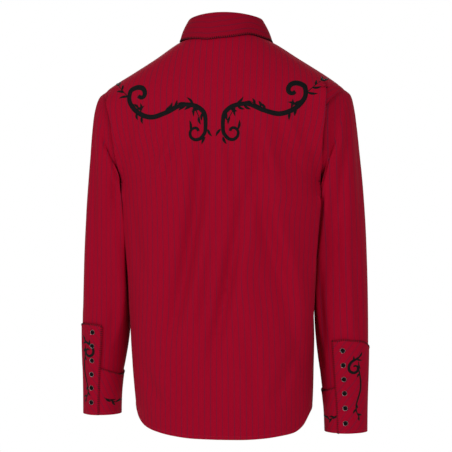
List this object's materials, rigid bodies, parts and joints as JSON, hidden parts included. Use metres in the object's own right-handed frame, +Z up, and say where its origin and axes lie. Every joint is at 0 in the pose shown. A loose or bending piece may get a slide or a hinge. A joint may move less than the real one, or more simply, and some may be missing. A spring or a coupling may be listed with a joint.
{
  "type": "western snap shirt",
  "caption": "Long-sleeved western shirt with turned-down collar, curved shirt-tail hem and tall shaped cuffs closed by press snaps, standing hollow as if worn.",
  "frame": {"origin": "middle of the neck opening, level with the side neck points", "axes": "+Z up towards the collar, -Y out of the front, +X towards the wearer's left"},
  "size_m": [0.58, 0.2802, 0.8298],
  "materials": {
    "cloth": "woven cotton blend with fine stripes, matte",
    "snap": "glossy black cap with a bright metal rim"
  },
  "bodies": {
    "root": {"back": "cloth", "front_left": "cloth", "front_right": "cloth", "placket": "cloth", "collar_stand": "cloth", "collar_leaf": "cloth", "sleeve_left": "cloth", "sleeve_right": "cloth", "cuff_left_lap": "cloth", "cuff_left_under": "cloth", "cuff_right_lap": "cloth", "cuff_right_under": "cloth", "snap_front_1": "snap", "snap_front_2": "snap", "snap_front_3": "snap", "snap_front_4": "snap", "snap_front_5": "snap", "snap_front_6": "snap", "snap_left_1": "snap", "snap_left_2": "snap", "snap_left_3": "snap", "snap_left_4": "snap", "snap_left_5": "snap", "snap_left_6": "snap", "snap_right_1": "snap", "snap_right_2": "snap", "snap_right_3": "snap", "snap_right_4": "snap", "snap_right_5": "snap", "snap_right_6": "snap"}
  },
  "joints": []
}
